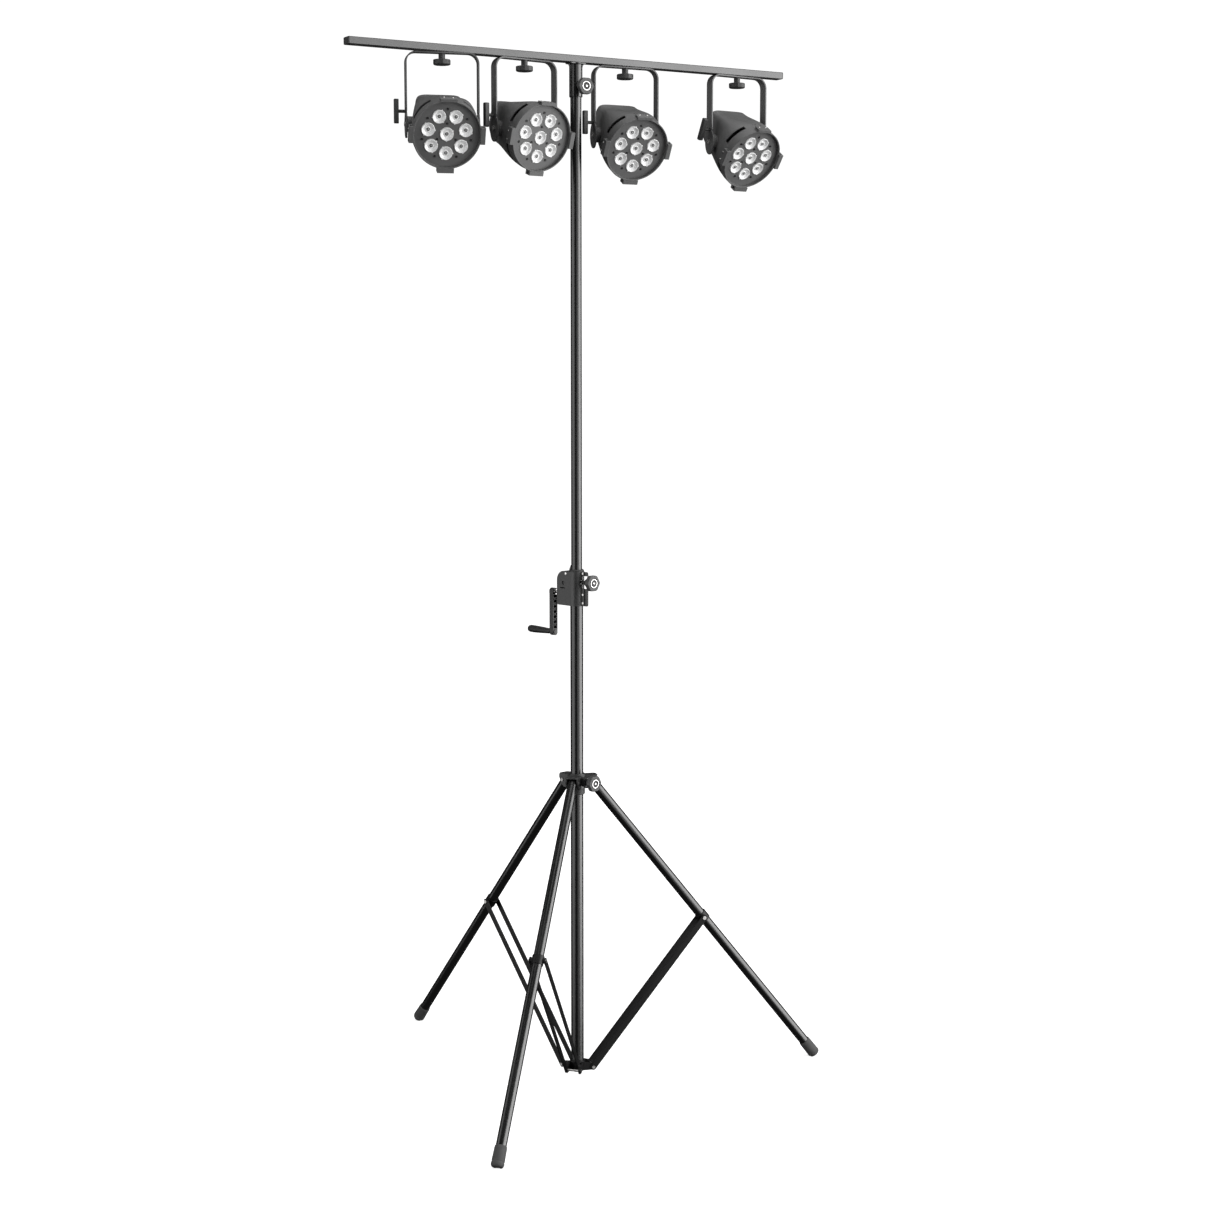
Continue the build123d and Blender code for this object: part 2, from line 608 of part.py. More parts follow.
with BuildPart() as hub_bush:
    with BuildSketch(Plane.XZ):
        with BuildLine():
            Polyline(
                (19.4, 866), (22.6, 866), (23.6, 868), (23.6, 883.7), (21.5, 883.7), (21.5, 923.4),
                (24.2, 923.4), (23.0, 927.5), (20.2, 928), (19.4, 927), (19.4, 866),
            )
        make_face()
    revolve(axis=Axis.Z)
    with BuildSketch(outward(WINCH_AZIMUTH + 180, HUB_KNOB[0], 10.0)):
        Circle(4.0 + 0.3)
    extrude(amount=40.0, mode=Mode.SUBTRACT)
save(hub_bush.part, "hub_bush")

with BuildPart() as hub_pins:
    for azimuth in LEG_AZIMUTHS:
        with BuildSketch(upright(azimuth)):
            with Locations((PIVOT_R, HUB_PIVOT_Z)):
                Circle(PIN_R)
        extrude(amount=18.9, both=True)
        for side in (-1, 1):
            with BuildSketch(upright(azimuth, side * 18.75)):
                with Locations((PIVOT_R, HUB_PIVOT_Z)):
                    Circle(5.0)
            extrude(amount=-side * 2.0)
save(hub_pins.part, "hub_pins")

# ---------------------------------------------------------------- legs, feet and braces
for number, azimuth in enumerate(LEG_AZIMUTHS, start=1):
    tag = "_" + str(number)
    with BuildPart() as leg_tube:
        with BuildSketch(along_leg(azimuth, -LEG_OVERRUN)):
            Circle(LEG_R)
            Circle(LEG_R - 1.5, mode=Mode.SUBTRACT)
        extrude(amount=LEG_LENGTH - 14.0 + LEG_OVERRUN)
        for run, height, radius in ((PIVOT_R, HUB_PIVOT_Z, PIN_R + RUNNING), (MID_R, MID_Z, PIN_R + SEATED)):
            with BuildSketch(upright(azimuth)):
                with Locations((run, height)):
                    Circle(radius)
            extrude(amount=24.0, both=True, mode=Mode.SUBTRACT)
    save(leg_tube.part, "leg_tube" + tag)

    with BuildPart() as foot:
        with BuildSketch(along_leg(azimuth, LEG_LENGTH - 58.0)):
            Circle(16.6)
        with BuildSketch(along_leg(azimuth, LEG_LENGTH - 12.0)):
            Circle(18.4)
        loft()
        with BuildSketch(along_leg(azimuth, LEG_LENGTH - 12.0)):
            Circle(18.4)
        extrude(amount=12.0)
        with BuildSketch(along_leg(azimuth, LEG_LENGTH - 14.0)):
            Circle(30.0)
            Circle(17.2, mode=Mode.SUBTRACT)
        extrude(amount=2.0, mode=Mode.SUBTRACT)
        with BuildSketch(along_leg(azimuth, LEG_LENGTH - 90.0)):
            Circle(LEG_R + SEATED)
        extrude(amount=76.2, mode=Mode.SUBTRACT)
        with BuildSketch(Plane.XY):
            Rectangle(3000.0, 3000.0)
        extrude(amount=-60.0, mode=Mode.SUBTRACT)
    save(foot.part, "foot" + tag)

    with BuildPart() as leg_bracket:
        with BuildSketch(along_leg(azimuth, BRACE_LENGTH - 13.0)):
            Circle(17.6)
        extrude(amount=26.0)
        with BuildSketch(upright(azimuth)):
            with Locations((MID_R, MID_Z)):
                Circle(8.0)
        extrude(amount=20.5, both=True)
        with BuildSketch(along_leg(azimuth, BRACE_LENGTH - 40.0)):
            Circle(LEG_R + SEATED)
        extrude(amount=80.0, mode=Mode.SUBTRACT)
        with BuildSketch(upright(azimuth)):
            with Locations((MID_R, MID_Z)):
                Circle(PIN_R + SEATED)
        extrude(amount=30.0, both=True, mode=Mode.SUBTRACT)
    with BuildPart() as leg_bolt:
        with BuildSketch(upright(azimuth)):
            with Locations((MID_R, MID_Z)):
                Circle(PIN_R)
        extrude(amount=24.2, both=True)
        for side in (-1, 1):
            with BuildSketch(upright(azimuth, side * 24.1)):
                with Locations((MID_R, MID_Z)):
                    Circle(5.5)
            extrude(amount=-side * 2.2)
    save(Compound(children=[leg_bracket.part, leg_bolt.part]), "leg_bracket" + tag)

    with BuildPart() as brace_bars:
        for side in (-1, 1):
            with BuildSketch(upright(azimuth, side * BRACE_INNER)):
                with Locations(((PIVOT_R + MID_R) / 2, (BASE_PIVOT_Z + MID_Z) / 2)):
                    SlotCenterToCenter(BRACE_LENGTH, 18.0, rotation=90 - degrees(LEG_SLOPE))
                with Locations((PIVOT_R, BASE_PIVOT_Z), (MID_R, MID_Z)):
                    Circle(PIN_R + RUNNING, mode=Mode.SUBTRACT)
            extrude(amount=-side * BRACE_THICK)
    save(brace_bars.part, "brace_bars" + tag)


# ---------------------------------------------------------------- lamp, built level at its own pivot
YOKE_RISE = YOKE_TOP - LAMP_PIVOT_Z
RING_ANGLES = [270.0 + 360.0 / 7 * i for i in range(7)]

with BuildPart() as yoke:
    with BuildSketch(Plane.XZ) as strap:
        with BuildLine():
            Polyline(
                (-YOKE_HALF, 34), (-YOKE_HALF, YOKE_RISE), (YOKE_HALF, YOKE_RISE), (YOKE_HALF, 34),
                (YOKE_HALF - YOKE_THICK, 34), (YOKE_HALF - YOKE_THICK, YOKE_RISE - YOKE_THICK),
                (-YOKE_HALF + YOKE_THICK, YOKE_RISE - YOKE_THICK), (-YOKE_HALF + YOKE_THICK, 34),
                close=True,
            )
        make_face()
        fillet(strap.vertices().group_by(Axis.Y)[-1], 30.0)
        fillet(strap.vertices().filter_by(lambda v: YOKE_RISE - 6 < v.Y < YOKE_RISE - 2), 26.0)
    extrude(amount=YOKE_WIDTH / 2, both=True)
    with BuildSketch(Plane.YZ.offset(-YOKE_HALF)):
        with Locations((0, -1)):
            Ellipse(20.0, 37.0)
    extrude(amount=YOKE_THICK)
    with BuildSketch(Plane.YZ.offset(YOKE_HALF)):
        with Locations((0, -1)):
            Ellipse(20.0, 37.0)
    extrude(amount=-YOKE_THICK)
    with BuildSketch(Plane.XY.offset(YOKE_RISE - 8)):
        Circle(4.0 + RUNNING)
    extrude(amount=12.0, mode=Mode.SUBTRACT)
    with BuildSketch(Plane.YZ):
        Circle(4.0 + SEATED)
    extrude(amount=120.0, both=True, mode=Mode.SUBTRACT)
    with BuildSketch(Plane.YZ):
        with Locations((0, HANDLE_RISE)):
            Circle(3.0 + RUNNING)
    extrude(amount=-120.0, mode=Mode.SUBTRACT)

with BuildPart() as pivot_bolts:
    for side in (-1, 1):
        with BuildSketch(Plane.YZ.offset(side * 86.0)):
            Circle(4.0)
        extrude(amount=side * 16.7)
        with BuildSketch(Plane.YZ.offset(side * (YOKE_HALF + 0.05))):
            Circle(6.5)
        extrude(amount=side * 3.0)
        with BuildSketch(Plane.YZ.offset(side * (YOKE_HALF + 1.6))):
            RegularPolygon(3.4, 6)
        extrude(amount=side * 2.0, mode=Mode.SUBTRACT)

with BuildPart() as mount_knob:
    with BuildSketch(Plane.XY.offset(YOKE_RISE - 34.6)) as disc:
        RegularPolygon(24.2, 12)
        fillet(disc.vertices(), 4.0)
    extrude(amount=14.4)
    fillet(mount_knob.faces().sort_by(Axis.Z)[0].edges(), 3.0)
    fillet(mount_knob.faces().sort_by(Axis.Z)[-1].edges(), 1.5)
    with BuildSketch(Plane.XY.offset(YOKE_RISE - 20.4)):
        Circle(9.2)
    extrude(amount=16.1)
    with BuildSketch(Plane.XY.offset(YOKE_RISE - 5.0)):
        Circle(4.0)
    extrude(amount=17.0)

with BuildPart() as tilt_handle:
    with BuildSketch(Plane.YZ.offset(-YOKE_HALF - 31.0)) as bar:
        with Locations((0, HANDLE_RISE)):
            RectangleRounded(13.5, 66.0, 3.5)
    extrude(amount=12.5)
    fillet(tilt_handle.faces().sort_by(Axis.X)[0].edges(), 1.4)
    with BuildSketch(Plane.YZ.offset(-YOKE_HALF - 19.0)):
        with Locations((0, HANDLE_RISE)):
            Circle(4.6)
    extrude(amount=18.4)
    with BuildSketch(Plane.YZ.offset(-YOKE_HALF - 2.0)):
        with Locations((0, HANDLE_RISE)):
            Circle(3.0)
    extrude(amount=6.6)


def section_radius(angle, squareness, size):
    """Radius of a lamp body section: round below, squared shoulders above."""
    c, s = abs(cos(angle)), sin(angle)
    if s <= 0:
        return size
    power = 2 + 4.5 * squareness
    return size / (c ** power + s ** power) ** (1 / power)


def section_points(squareness, size):
    """Points of a section; the squared shoulders are also pressed down a little."""
    points = []
    for i in range(32):
        angle = 2 * pi * i / 32
        radius = section_radius(angle, squareness, size)
        press = 1 - 0.10 * squareness if sin(angle) > 0 else 1
        points.append((radius * cos(angle), radius * sin(angle) * press))
    return points


def body_solid(inset, stations):
    """Loft of the lamp body through its stations: depth, size and squareness of each."""
    with BuildPart() as body:
        for depth, size, squareness in stations:
            with BuildSketch(Plane.XZ.offset(-depth)):
                with BuildLine():
                    Spline(*section_points(squareness, size - inset), periodic=True)
                make_face()
        loft()
    return body.part


BODY_STATIONS = ((-70.0, 94.3, 0.0), (-44.0, 92.0, 0.1), (0.0, 82.5, 0.5), (48.0, 71.5, 0.9), (86.0, 65.7, 1.0))
INNER_STATIONS = ((-70.5, 94.3, 0.0), (-44.0, 92.0, 0.1), (0.0, 82.5, 0.5), (48.0, 71.5, 0.9), (82.5, 66.0, 1.0))
body_outer = body_solid(0.0, BODY_STATIONS)
body_inner = body_solid(3.0, INNER_STATIONS)

with BuildPart() as lamp_body:
    add(body_outer)
    add(body_inner, mode=Mode.SUBTRACT)
    for start, sweep_angle in ((20.0, 42.0), (118.0, 42.0), (196.0, 40.0), (304.0, 40.0)):
        with BuildSketch(Plane.XZ.offset(65.0)):
            with BuildLine():
                CenterArc((0, 0), 76.0, start, sweep_angle)
                CenterArc((0, 0), 100.0, start, sweep_angle)
                Line(PolarLine((0, 0), 76.0, start, mode=Mode.PRIVATE) @ 1,
                     PolarLine((0, 0), 100.0, start, mode=Mode.PRIVATE) @ 1)
                Line(PolarLine((0, 0), 76.0, start + sweep_angle, mode=Mode.PRIVATE) @ 1,
                     PolarLine((0, 0), 100.0, start + sweep_angle, mode=Mode.PRIVATE) @ 1)
            make_face()
        extrude(amount=-13.0, mode=Mode.SUBTRACT)
    with BuildSketch(Plane.XY.offset(50.0)):
        with Locations((-24, 20), (24, 20), (10, -52), (-10, -52)):
            SlotOverall(15.0, 4.5)
    extrude(amount=60.0, mode=Mode.SUBTRACT)
    for side in (-1, 1):
        with BuildSketch(Plane.YZ.offset(side * 76.0)):
            Circle(21.0)
        extrude(amount=side * 22.2)
    with BuildSketch(Plane.YZ):
        Circle(4.0 + RUNNING)
    extrude(amount=120.0, both=True, mode=Mode.SUBTRACT)
    with BuildSketch(Plane.XZ.offset(-90.0)):
        with Locations((-22, 22), (22, 22)):
            Circle(11.0)
        with Locations((-22, -20)):
            RectangleRounded(28.0, 22.0, 2.0)
        with Locations((22, -14), (22, -20), (22, -26)):
            SlotOverall(26.0, 2.6)
    extrude(amount=14.0, mode=Mode.SUBTRACT)

# Filter clips round the ring: angle and outer reach; the top one is low.
CLIPS = ((0, 105.0), (90, 100.0), (180, 105.0), (270, 105.0))
with BuildPart() as front_ring:
    with BuildSketch(Plane.XZ.offset(70.2)):
        Circle(95.0)
        Circle(91.0, mode=Mode.SUBTRACT)
    extrude(amount=23.8)
    fillet(front_ring.edges().filter_by(GeomType.CIRCLE).sort_by(Axis.Y)[:2], 1.2)
    with BuildSketch(Plane.XZ.offset(70.2)):
        Circle(93.0)
        Circle(86.0, mode=Mode.SUBTRACT)
    extrude(amount=3.0)
    with BuildSketch(Plane.XZ.offset(80.0)):
        Circle(91.5)
        Circle(19.6, mode=Mode.SUBTRACT)
        for angle in RING_ANGLES:
            with Locations((53.0 * cos(radians(angle)), 53.0 * sin(radians(angle)))):
                Circle(19.6, mode=Mode.SUBTRACT)
            gap = radians(angle + 180.0 / 7)
            with Locations((69.0 * cos(gap), 69.0 * sin(gap))):
                Circle(2.7, mode=Mode.SUBTRACT)
        with PolarLocations(29.5, 3, start_angle=90):
            Circle(2.7, mode=Mode.SUBTRACT)
    extrude(amount=3.5)
    for angle, reach in CLIPS:
        with BuildSketch(Plane.XZ.offset(76.0)):
            with Locations(Location((0, 0, 0), (0, 0, angle))):
                with Locations(((92.0 + reach) / 2, 0)):
                    Rectangle(reach - 92.0, 46.0)
        extrude(amount=22.0)
        with BuildSketch(Plane.XZ.offset(84.0)):
            with Locations(Location((0, 0, 0), (0, 0, angle))):
                with Locations(((94.6 + reach - 2.4) / 2, 0)):
                    Rectangle(reach - 2.4 - 94.6, 60.0)
        extrude(amount=7.0, mode=Mode.SUBTRACT)
    with BuildSketch(Plane.XZ.offset(83.5)):
        Circle(91.0)
    extrude(amount=30.0, mode=Mode.SUBTRACT)

with BuildPart() as lenses:
    with BuildSketch(Plane.XY):
        with BuildLine():
            Line((0, -77.0), (0, -87.2))
            ThreePointArc((0, -87.2), (10.5, -86.2), (18.6, -83.8))
            Line((18.6, -83.8), (18.6, -80.2))
            Line((18.6, -80.2), (6.0, -77.0))
            Line((6.0, -77.0), (0, -77.0))
        make_face()
    revolve(axis=Axis.Y)
    lens = lenses.part
lens_places = [Location((0, 0, 0))]
for angle in RING_ANGLES:
    lens_places.append(Location((53.0 * cos(radians(angle)), 0, 53.0 * sin(radians(angle)))))
lens_group = Compound(children=[place * lens for place in lens_places])

for number, ((x, pan, tilt), turn) in enumerate(zip(LAMPS, HANDLE_TURNS), start=1):
    tag = "lamp_" + str(number) + "_"
    hung = Location((x, 0, LAMP_PIVOT_Z), (0, 0, 1), pan)
    nodded = hung * Location((0, 0, 0), (1, 0, 0), tilt)
    handle = hung * Location((0, 0, HANDLE_RISE), (1, 0, 0), turn) * Location((0, 0, -HANDLE_RISE))
    save(Compound(children=[hung * yoke.part, hung * pivot_bolts.part]), tag + "yoke")
    save(hung * mount_knob.part, tag + "mount_knob")
    save(handle * tilt_handle.part, tag + "tilt_handle")
    save(nodded * lamp_body.part, tag + "body")
    save(nodded * front_ring.part, tag + "front_ring")
    save(nodded * lens_group, tag + "lenses")
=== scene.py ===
import json
import math

import bmesh
import bpy
from mathutils import Matrix, Vector


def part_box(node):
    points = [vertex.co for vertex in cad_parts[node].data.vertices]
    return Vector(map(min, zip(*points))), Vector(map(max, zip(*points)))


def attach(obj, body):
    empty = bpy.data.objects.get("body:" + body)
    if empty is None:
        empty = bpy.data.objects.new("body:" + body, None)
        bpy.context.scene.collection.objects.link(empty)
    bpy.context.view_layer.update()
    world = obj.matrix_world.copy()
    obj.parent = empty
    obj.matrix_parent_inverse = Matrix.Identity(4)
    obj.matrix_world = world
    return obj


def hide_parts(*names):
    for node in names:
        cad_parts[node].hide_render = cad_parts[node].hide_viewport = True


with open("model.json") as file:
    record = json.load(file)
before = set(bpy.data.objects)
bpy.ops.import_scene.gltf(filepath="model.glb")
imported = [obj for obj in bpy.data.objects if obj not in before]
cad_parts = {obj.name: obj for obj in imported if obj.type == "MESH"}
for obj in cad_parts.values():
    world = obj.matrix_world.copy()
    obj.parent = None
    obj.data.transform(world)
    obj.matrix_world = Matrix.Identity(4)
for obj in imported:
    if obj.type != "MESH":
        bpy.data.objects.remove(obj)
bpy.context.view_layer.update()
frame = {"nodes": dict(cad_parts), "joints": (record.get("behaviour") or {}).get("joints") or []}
NODES = frame["nodes"]
JOINTS = {joint["name"]: joint for joint in frame["joints"]}
LAMP_NUMBERS = (1, 2, 3, 4)
LEG_NUMBERS = (1, 2, 3)
MM = 0.001
TOWARDS_FRONT = (0, -1, 0)
TOWARDS_BACK = (0, 1, 0)


# ---------------------------------------------------------------- node trees
class Tree:
    """A node tree with short calls for making and joining its nodes."""

    def __init__(self, tree):
        self.tree = tree

    def feed(self, socket, value):
        if isinstance(value, bpy.types.NodeSocket):
            self.tree.links.new(value, socket)
        else:
            socket.default_value = value

    def add(self, kind, inputs, **settings):
        node = self.tree.nodes.new(kind)
        for key, value in settings.items():
            setattr(node, key, value)
        for socket, value in inputs.items():
            self.feed(node.inputs[socket], value)
        return node

    def place(self, scale=(1, 1, 1)):
        """Object coordinates in metres, stretched by scale."""
        coords = self.add("ShaderNodeTexCoord", {})
        return self.add("ShaderNodeMapping", {"Vector": coords.outputs["Object"], "Scale": scale}).outputs[0]

    def noise(self, where, scale, detail=2.0, rough=0.5):
        inputs = {"Vector": where, "Scale": scale, "Detail": detail, "Roughness": rough}
        return self.add("ShaderNodeTexNoise", inputs).outputs["Fac"]

    def cells(self, where, scale):
        return self.add("ShaderNodeTexVoronoi", {"Vector": where, "Scale": scale}).outputs["Distance"]

    def span(self, value, low, high, to_low=0.0, to_high=1.0):
        inputs = {"Value": value, "From Min": low, "From Max": high, "To Min": to_low, "To Max": to_high}
        return self.add("ShaderNodeMapRange", inputs).outputs["Result"]

    def maths(self, operation, first, second):
        return self.add("ShaderNodeMath", {0: first, 1: second}, operation=operation).outputs[0]

    def blend(self, factor, first, second):
        return self.add("ShaderNodeMix", {0: factor, 6: first, 7: second}, data_type="RGBA").outputs[2]

    def bump(self, height, distance, strength=1.0, normal=None):
        inputs = {"Height": height, "Distance": distance, "Strength": strength}
        if normal is not None:
            inputs["Normal"] = normal
        return self.add("ShaderNodeBump", inputs).outputs["Normal"]


def grey(value, warmth=0.0):
    return (value * (1 + warmth), value, value * (1 - warmth), 1.0)


def new_material(name):
    material = bpy.data.materials.new(name)
    material.use_nodes = True
    nodes = Tree(material.node_tree)
    return material, nodes, material.node_tree.nodes["Principled BSDF"]


# ---------------------------------------------------------------- materials
COAT_EDGE = 0.0008
MOULDED_EDGE = 0.0009


def coated_steel(name, tone, worn, roughness, grain, relief, specular=0.5, wear=0.6):
    """Paint or powder coat: grain and relief of its skin, slight clouding, rubbed edges."""
    material, nodes, shader = new_material(name)
    where = nodes.place()
    cloud = nodes.noise(where, 7.0, 3.0)
    specks = nodes.noise(where, 240.0, 4.0, 0.6)
    skin = nodes.noise(where, grain, 2.0)
    rounded = nodes.add("ShaderNodeBevel", {"Radius": COAT_EDGE}, samples=4).outputs[0]
    flat = nodes.add("ShaderNodeNewGeometry", {}).outputs["Normal"]
    along = nodes.add("ShaderNodeVectorMath", {0: rounded, 1: flat}, operation="DOT_PRODUCT")
    edge = nodes.span(along.outputs["Value"], 0.97, 0.80)
    rubbed = nodes.maths("MULTIPLY", edge, nodes.span(specks, 0.42, 0.60, 0.0, wear))
    base = nodes.blend(nodes.span(cloud, 0.35, 0.65), grey(tone * 0.86), grey(tone * 1.12))
    dusty = nodes.blend(nodes.span(specks, 0.60, 0.78, 0.0, 0.25), base, grey(tone * 1.6))
    nodes.feed(shader.inputs["Base Color"], nodes.blend(rubbed, dusty, grey(worn)))
    patch = nodes.span(cloud, 0.3, 0.7, roughness - 0.03, roughness + 0.04)
    nodes.feed(shader.inputs["Roughness"], nodes.maths("ADD", patch, nodes.span(specks, 0.5, 0.8, 0.0, 0.03)))
    shader.inputs["Specular IOR Level"].default_value = specular
    nodes.feed(shader.inputs["Normal"], nodes.bump(skin, relief, 1.0, rounded))
    return material


def bare_steel(name, tone, roughness, streak):
    """Plated or machined steel with fine tool marks and a little tarnish."""
    material, nodes, shader = new_material(name)
    marks = nodes.noise(nodes.place(streak), 900.0, 3.0)
    tarnish = nodes.noise(nodes.place(), 240.0, 4.0)
    colour = nodes.blend(nodes.span(tarnish, 0.4, 0.7), grey(tone, 0.01), grey(tone * 0.62, 0.03))
    nodes.feed(shader.inputs["Base Color"], colour)
    nodes.feed(shader.inputs["Roughness"], nodes.span(marks, 0.3, 0.7, roughness - 0.07, roughness + 0.10))
    shader.inputs["Metallic"].default_value = 1.0
    nodes.feed(shader.inputs["Normal"], nodes.bump(marks, 0.00003))
    return material


def moulded(name, tone, roughness, grain, relief, specular=0.45, scuff_and_sheen=0.25):
    """Moulded nylon or rubber: spark-eroded grain, and paler patches at random that are partly scuffs and
    partly a painted handling sheen.
    """
    material, nodes, shader = new_material(name)
    where = nodes.place()
    cells = nodes.cells(where, grain)
    cloud = nodes.noise(where, 40.0, 4.0)
    rounded = nodes.add("ShaderNodeBevel", {"Radius": MOULDED_EDGE}, samples=4).outputs[0]
    base = nodes.blend(nodes.span(cloud, 0.35, 0.7), grey(tone * 0.88), grey(tone * 1.16))
    # paler random patches: partly scuffing, partly a painted sheen standing in for handling shine
    pale_scuff_and_sheen = nodes.span(nodes.noise(where, 420.0, 5.0, 0.65), 0.60, 0.75, 0.0, scuff_and_sheen)
    nodes.feed(shader.inputs["Base Color"], nodes.blend(pale_scuff_and_sheen, base, grey(tone * 2.2)))
    nodes.feed(shader.inputs["Roughness"], nodes.span(cloud, 0.3, 0.7, roughness - 0.06, roughness + 0.06))
    shader.inputs["Specular IOR Level"].default_value = specular
    nodes.feed(shader.inputs["Normal"], nodes.bump(cells, relief, 1.0, rounded))
    return material


def optic(name):
    """Frosted white collector face, with the fine honeycomb of a moulded lens, and a faint painted glow that
    stands in for reflected light.
    """
    material, nodes, shader = new_material(name)
    where = nodes.place()
    facets = nodes.cells(where, 420.0)
    colour = nodes.blend(nodes.span(facets, 0.1, 0.7), grey(0.66), grey(0.90))
    nodes.feed(shader.inputs["Base Color"], colour)
    nodes.feed(shader.inputs["Roughness"], nodes.span(facets, 0.0, 0.8, 0.14, 0.30))
    shader.inputs["Coat Weight"].default_value = 0.6
    shader.inputs["Coat Roughness"].default_value = 0.08
    nodes.feed(shader.inputs["Normal"], nodes.bump(facets, 0.0002, 0.6))
    # painted light: the unlit lens glows faintly in its own colour, standing in for the white light it
    # reflects
    nodes.feed(shader.inputs["Emission Color"], colour)
    shader.inputs["Emission Strength"].default_value = LENS_PAINTED_GLOW
    return material


def smoked_window(name):
    """Dark glossy window over a panel display."""
    material, nodes, shader = new_material(name)
    haze = nodes.noise(nodes.place(), 90.0, 4.0)
    nodes.feed(shader.inputs["Base Color"], nodes.blend(haze, grey(0.004), grey(0.009)))
    nodes.feed(shader.inputs["Roughness"], nodes.span(haze, 0.3, 0.7, 0.05, 0.14))
    return material


# strength of the painted glow on the unlit lenses, which stands in for the light they reflect
LENS_PAINTED_GLOW = 0.12

TUBE_COAT = coated_steel("tube_coat", tone=0.004, worn=0.03, roughness=0.25, grain=1400.0, relief=0.000006,
                         specular=0.9, wear=0.3)
BAR_COAT = coated_steel("bar_coat", tone=0.016, worn=0.06, roughness=0.34, grain=1400.0, relief=0.000008,
                        specular=1.0, wear=0.4)
SATIN_BLACK = coated_steel("satin_black", tone=0.004, worn=0.04, roughness=0.42, grain=1500.0,
                           relief=0.00002, specular=0.35)
PIN_BLACK = coated_steel("blackened_steel", tone=0.010, worn=0.10, roughness=0.34, grain=1500.0,
                         relief=0.00002, specular=0.5)
CASE_COAT = coated_steel("case_coat", tone=0.050, worn=0.14, roughness=0.40, grain=1100.0, relief=0.00004,
                         specular=0.6)
YOKE_COAT = coated_steel("yoke_coat", tone=0.125, worn=0.30, roughness=0.42, grain=1500.0, relief=0.00003,
                         specular=0.5)
CAST_COAT = coated_steel("cast_coat", tone=0.122, worn=0.30, roughness=0.48, grain=1200.0, relief=0.00007,
                         specular=0.5)
PLATED = bare_steel("plated_steel", tone=0.85, roughness=0.26, streak=(1.0, 1.0, 1.0))
MACHINED = bare_steel("machined_steel", tone=0.45, roughness=0.36, streak=(1.0, 1.0, 0.2))
NYLON = moulded("black_nylon", tone=0.045, roughness=0.46, grain=1500.0, relief=0.00006)
GRIP_NYLON = moulded("grip_nylon", tone=0.022, roughness=0.50, grain=1300.0, relief=0.00008)
KNOB_NYLON = moulded("knob_nylon", tone=0.085, roughness=0.50, grain=1300.0, relief=0.00010)
FOOT_RUBBER = moulded("foot_rubber", tone=0.085, roughness=0.72, grain=1000.0, relief=0.00012,
                      specular=0.35)
OPTIC = optic("lens_face")
OPTIC_CORE = moulded("lens_core", tone=0.055, roughness=0.35, grain=2200.0, relief=0.00002)
EMITTER = moulded("lens_emitter", tone=0.35, roughness=0.30, grain=2600.0, relief=0.00002)
WINDOW = smoked_window("panel_window")


# ---------------------------------------------------------------- finishes on the CAD nodes
def finish(material, *names):
    for name in names:
        NODES[name].data.materials.clear()
        NODES[name].data.materials.append(material)


def refinish(name, material, test):
    """A second material on the faces of a node whose centres pass the test."""
    mesh = NODES[name].data
    mesh.materials.append(material)
    for face in mesh.polygons:
        if test(face.center):
            face.material_index = len(mesh.materials) - 1


def every(pattern, numbers):
    return [pattern.format(number) for number in numbers]


finish(TUBE_COAT, "mast_tube", "inner_tube", "crossbar_sleeve", *every("leg_tube_{}", LEG_NUMBERS))
finish(BAR_COAT, "crossbar")
finish(SATIN_BLACK, "base_hub", *every("leg_bracket_{}", LEG_NUMBERS), *every("brace_bars_{}", LEG_NUMBERS))
finish(CASE_COAT, "winch_case_front", "winch_case_rear", "leg_hub")
finish(YOKE_COAT, *every("lamp_{}_yoke", LAMP_NUMBERS))
finish(CAST_COAT, *every("lamp_{}_body", LAMP_NUMBERS), *every("lamp_{}_front_ring", LAMP_NUMBERS))
finish(PLATED, "base_pins", "winch_pins")
finish(MACHINED, "hub_pins", "drive_gear", "worm_shaft", "rack", "worm_cradle")
finish(NYLON, "guide_bush", "hub_bush", "inner_tube_bush", "crossbar_end_caps", "crank_arm")
finish(NYLON, *every("lamp_{}_tilt_handle", LAMP_NUMBERS), *every("lamp_{}_mount_knob", LAMP_NUMBERS))
finish(KNOB_NYLON, "winch_knob", "sleeve_knob", "hub_knob")


# ---------------------------------------------------------------- places taken from the frame
def joint_place(name):
    return Vector(JOINTS[name]["pos_m"]) / MM


def joint_frame(name):
    """A joint's place in mm, with z along its axis."""
    axis = Vector(JOINTS[name]["axis"])
    return Matrix.Translation(joint_place(name)) @ axis.to_track_quat("Z", "Y").to_matrix().to_4x4()


TILT_STOP = 90.0


def yoke_frame(number):
    """A lamp yoke's own axes in mm: x along the pivot, y to the back, z up."""
    side = Vector(JOINTS[f"lamp_{number}_tilt"]["axis"])
    pan = Matrix.Rotation(math.atan2(side.y, side.x), 4, "Z")
    return Matrix.Translation(joint_place(f"lamp_{number}_tilt")) @ pan


def head_frame(number):
    """A lamp head's own axes in mm: the yoke's, nodded down by the head's tilt at rest."""
    tilt = TILT_STOP - JOINTS[f"lamp_{number}_tilt"]["range_deg"][1]
    return yoke_frame(number) @ Matrix.Rotation(math.radians(tilt), 4, "X")


def facing(x, y, z, direction):
    """A place in a part's own axes in mm, with z along a direction."""
    return Matrix.Translation((x, y, z)) @ Vector(direction).to_track_quat("Z", "Y").to_matrix().to_4x4()


def near_axis(name, radius):
    """Test for faces close to a joint's axis; radius in mm."""
    inverse = joint_frame(name).inverted()

    def test(centre):
        local = inverse @ (centre / MM)
        return math.hypot(local.x, local.y) < radius
    return test


# ---------------------------------------------------------------- mesh building
CREASE = math.radians(38)


